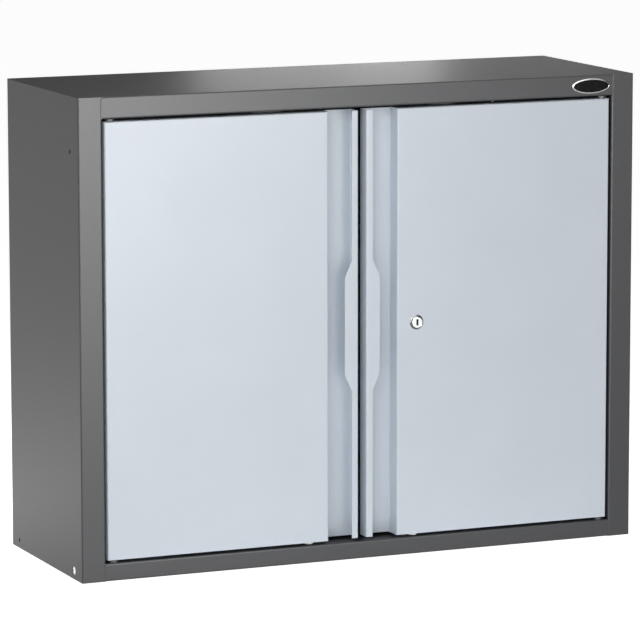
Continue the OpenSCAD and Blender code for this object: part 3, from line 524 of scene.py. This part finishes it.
def keyway_painted_shade():
    """Dark walls lining the keyway as painted shade, with the ends of the wafers across it, and a dark band
    round its mouth that is painted shade too.
    """
    low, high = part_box("lock_plug")
    centre = (low + high) / 2
    half_w, half_h, depth = 1.3 * MM, 4.8 * MM, 8.9 * MM
    wall, wall_gap = 0.12 * MM, 0.01 * MM
    # Width, rise and sink of the painted shade round the keyway's mouth.
    mouth_shade_w, mouth_shade_proud, mouth_shade_sunk = 0.5 * MM, 0.03 * MM, 0.02 * MM
    wafers, wafer_start, wafer_step, wafer_t, wafer_reach = 4, 1.2 * MM, 1.6 * MM, 0.8 * MM, 1.8 * MM
    left, right = centre.x - half_w, centre.x + half_w
    base, top = centre.z - half_h, centre.z + half_h
    start = low.y + 0.35 * MM
    stop = low.y + depth
    mesh = bmesh.new()
    # A dark band each side of the keyway's mouth: painted shade.
    for side in (-1, 1):
        x = sorted((centre.x + side * half_w, centre.x + side * (half_w + mouth_shade_w)))
        add_block(mesh, (x[0], low.y - mouth_shade_proud, base), (x[1], low.y + mouth_shade_sunk, top))
    # Dark sheets just inside the keyway's walls, and one at its end: painted shade.
    for side in (-1, 1):
        x = sorted((centre.x + side * (half_w - wall_gap), centre.x + side * (half_w - wall)))
        add_block(mesh, (x[0], start, base), (x[1], stop, top))
        z = sorted((centre.z + side * (half_h - wall_gap), centre.z + side * (half_h - wall)))
        add_block(mesh, (left, start, z[0]), (right, stop, z[1]))
    add_block(mesh, (left, stop - wall, base), (right, stop, top))
    for k in range(wafers):
        y = start + wafer_start + k * wafer_step
        up = 1 if k % 2 else -1
        z = sorted((centre.z + up * half_h, centre.z + up * (half_h - wafer_reach)))
        add_block(mesh, (left, y, z[0]), (right, y + wafer_t, z[1]))
    add_piece("lock_keyway_painted_shade", mesh, "zinc_steel", "lock_cylinder", material=DARK_STEEL_AND_SHADE)


def frame_seams():
    """The ground and painted seams where the rails meet the stiles, a hair below the face of the frame."""
    low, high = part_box("top_panel")
    sunk = 0.1 * MM
    depth = 0.8 * MM
    lap = 0.02 * MM
    reach = 2.0 * MM
    front = low.y + sunk
    mesh = bmesh.new()
    for side in (-1, 1):
        x = sorted((side * (RAIL_HALF - lap), side * (RAIL_HALF + reach)))
        for z0, z1 in ((0, RAIL_LOW_TOP), (RAIL_HIGH_BASE, high.z - sunk)):
            add_block(mesh, (x[0], front, z0), (x[1], front + depth, z1))
    add_piece("frame_ground_seams", mesh, "carcass_paint", "cabinet")


def spot_welds(name, body, slot, places, outward):
    """Shallow rings that a spot welder's tips leave under the paint."""
    radius = 2.6 * MM
    height = 0.12 * MM
    segments = 20
    profile = [(0, height * 0.25), (radius * 0.55, height * 0.3), (radius * 0.8, height), (radius, 0), (0, 0)]
    mesh = bmesh.new()
    for place in places:
        add_lathe(mesh, profile, facing(place, outward), segments)
    add_piece(name, mesh, slot, body)


def row(start, end, count):
    """This many numbers, evenly from start to end."""
    return [start + (end - start) * k / (count - 1) for k in range(count)]


def back_welds():
    """Where the back sheet is welded to the flanges of the sides and the top, and to the wall rails."""
    low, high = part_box("back_panel")
    flange = 10 * MM
    end = 50 * MM
    top_reach = 340 * MM
    rail_edge = 7 * MM
    rail_reach = 290 * MM
    side_welds, top_welds, rail_welds = 7, 8, 5
    places = [
        (x, high.y, z) for x in (low.x + flange, high.x - flange)
        for z in row(end, high.z - end, side_welds)
    ]
    places += [(x, high.y, high.z - flange) for x in row(-top_reach, top_reach, top_welds)]
    for rail in ("lower_wall_rail", "upper_wall_rail"):
        rail_low, rail_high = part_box(rail)
        places += [
            (x, high.y, z) for z in (rail_low.z + rail_edge, rail_high.z - rail_edge)
            for x in row(-rail_reach, rail_reach, rail_welds)
        ]
    spot_welds("back_spot_welds", "cabinet", "carcass_paint", places, (0, 1, 0))


def stiffener_welds():
    """Where each door's stiffener is welded to the back of its face."""
    edge = 6 * MM
    end = 30 * MM
    sheet = 1 * MM
    welds = 7
    for side in ("left", "right"):
        low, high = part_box(f"{side}_door_stiffener")
        places = [
            (x, low.y + sheet, z) for x in (low.x + edge, high.x - edge)
            for z in row(low.z + end, high.z - end, welds)
        ]
        spot_welds(f"{side}_door_spot_welds", f"{side}_door", "door_paint", places, (0, 1, 0))


# ---------------------------------------------------------------- stage

# The world's light from the front, from behind, and the share of it that is left overhead
FRONT_LIGHT = 0.19
BACK_LIGHT = 0.12
TOP_LIGHT = 0.15
BACKDROP = 1.0
FLOOR_GLOW = 0.93
FLOOR_HALF = 20
# Where the floor glows most, how much more, how far that reaches, and between which Y it sets in
FLOOR_POOL = (-0.6, 0.35, 0)
POOL_GLOW = 1.0
POOL_REACH = 1.7
POOL_START = (-0.1, 0.5)


def make_floor():
    """A wide, plain floor that glows, so that it stays pale under light from the front. It glows most behind
    the cabinet on its left, which is what the paint of the left side mirrors."""
    look = Look("pale_floor", (0.8, 0.8, 0.8), 0.9)
    look.shader.inputs["Emission Color"].default_value = (1, 1, 1, 1)
    away = look.node("ShaderNodeVectorMath")
    away.operation = "DISTANCE"
    look.link(look.place, away.inputs[0])
    away.inputs[1].default_value = FLOOR_POOL
    axes = look.node("ShaderNodeSeparateXYZ")
    look.link(look.place, axes.inputs[0])
    pool = look.node("ShaderNodeMath")
    pool.operation = "MULTIPLY"
    look.link(look.spread(away.outputs["Value"], POOL_GLOW, 0, 0, POOL_REACH), pool.inputs[0])
    look.link(look.spread(axes.outputs["Y"], 0, 1, *POOL_START), pool.inputs[1])
    glow = look.node("ShaderNodeMath")
    look.link(pool.outputs[0], glow.inputs[0])
    glow.inputs[1].default_value = FLOOR_GLOW
    look.link(glow.outputs[0], look.shader.inputs["Emission Strength"])
    look.colour_from(look.colours(look.noise(0.4, 2.0), (0.79, 0.79, 0.79), (0.81, 0.81, 0.81)))
    mesh = bmesh.new()
    corners = ((-1, -1), (1, -1), (1, 1), (-1, 1))
    mesh.faces.new([mesh.verts.new((x * FLOOR_HALF, y * FLOOR_HALF, 0)) for x, y in corners])
    data = bpy.data.meshes.new("floor")
    mesh.to_mesh(data)
    mesh.free()
    data.materials.append(look.material)
    floor = bpy.data.objects.new("floor", data)
    bpy.context.scene.collection.objects.link(floor)


def make_world():
    """Soft light that is strongest from the front and falls off overhead, before a plain white backdrop."""
    world = bpy.data.worlds.new("studio")
    bpy.context.scene.world = world
    world.use_nodes = True
    tree = world.node_tree
    tree.nodes.clear()
    direction = tree.nodes.new("ShaderNodeSeparateXYZ")
    tree.links.new(tree.nodes.new("ShaderNodeTexCoord").outputs["Generated"], direction.inputs[0])

    def falling(axis, start, end, low, high):
        spread = tree.nodes.new("ShaderNodeMapRange")
        spread.interpolation_type = "SMOOTHSTEP"
        for socket, number in (("From Min", start), ("From Max", end), ("To Min", low), ("To Max", high)):
            spread.inputs[socket].default_value = number
        tree.links.new(direction.outputs[axis], spread.inputs["Value"])
        return spread.outputs["Result"]

    strength = tree.nodes.new("ShaderNodeMath")
    strength.operation = "MULTIPLY"
    tree.links.new(falling("Y", -1, 1, FRONT_LIGHT, BACK_LIGHT), strength.inputs[0])
    tree.links.new(falling("Z", 0, 1, 1, TOP_LIGHT), strength.inputs[1])
    light = tree.nodes.new("ShaderNodeBackground")
    tree.links.new(strength.outputs[0], light.inputs["Strength"])
    backdrop = tree.nodes.new("ShaderNodeBackground")
    backdrop.inputs["Color"].default_value = (BACKDROP, BACKDROP, BACKDROP, 1)
    seen = tree.nodes.new("ShaderNodeLightPath").outputs["Is Camera Ray"]
    mix = tree.nodes.new("ShaderNodeMixShader")
    tree.links.new(seen, mix.inputs["Fac"])
    tree.links.new(light.outputs[0], mix.inputs[1])
    tree.links.new(backdrop.outputs[0], mix.inputs[2])
    output = tree.nodes.new("ShaderNodeOutputWorld")
    tree.links.new(mix.outputs[0], output.inputs["Surface"])


def soft_box(name, place, target, width, height, watts, sheen_only=False):
    """A rectangular light that the camera doesn't see. One for sheen alone shows only in gloss."""
    data = bpy.data.lights.new(name, "AREA")
    data.shape = "RECTANGLE"
    data.size = width
    data.size_y = height
    data.energy = watts
    light = bpy.data.objects.new(name, data)
    aim = (Vector(target) - Vector(place)).to_track_quat("-Z", "Y")
    light.matrix_world = Matrix.Translation(place) @ aim.to_matrix().to_4x4()
    light.visible_camera = False
    light.visible_diffuse = not sheen_only
    bpy.context.scene.collection.objects.link(light)


def make_lights():
    """One soft key from the upper left, and large boxes that show as sheen on the paint and the metal."""
    bpy.context.scene.view_settings.view_transform = "Standard"
    make_world()
    soft_box("front_sheen", (0.2, -3.15, 0.7), (-0.1, 0, 0.5), 1.1, 1.0, 130, sheen_only=True)
    soft_box("high_sheen", (-0.45, -1.3, 1.6), (0, 0, 0.4), 3.0, 1.6, 75, sheen_only=True)
    soft_box("overhead_sheen", (0, 0.4, 3.0), (0, 0.4, 0), 6.0, 6.0, 120, sheen_only=True)
    soft_box("left_sheen", (-1.6, -1.45, 0.5), (0, 0, 0.35), 1.2, 1.1, 20, sheen_only=True)
    soft_box("left_key", (-1.2, -1.6, 1.5), (0, 0, 0.35), 0.7, 0.7, 9.0)
    soft_box("top_sheen", (0.55, 1.3, 0.92), (0.05, 0, 0.7), 0.45, 0.25, 1.1, sheen_only=True)
    soft_box("top_glow", (0.88, 1.3, 0.92), (0.3, 0, 0.7), 0.5, 0.25, 0.36, sheen_only=True)


make_camera()
paint_cad_nodes()
door_glides()
badge()
lock_front()
keyway_painted_shade()
frame_seams()
back_welds()
stiffener_welds()
make_floor()
make_lights()
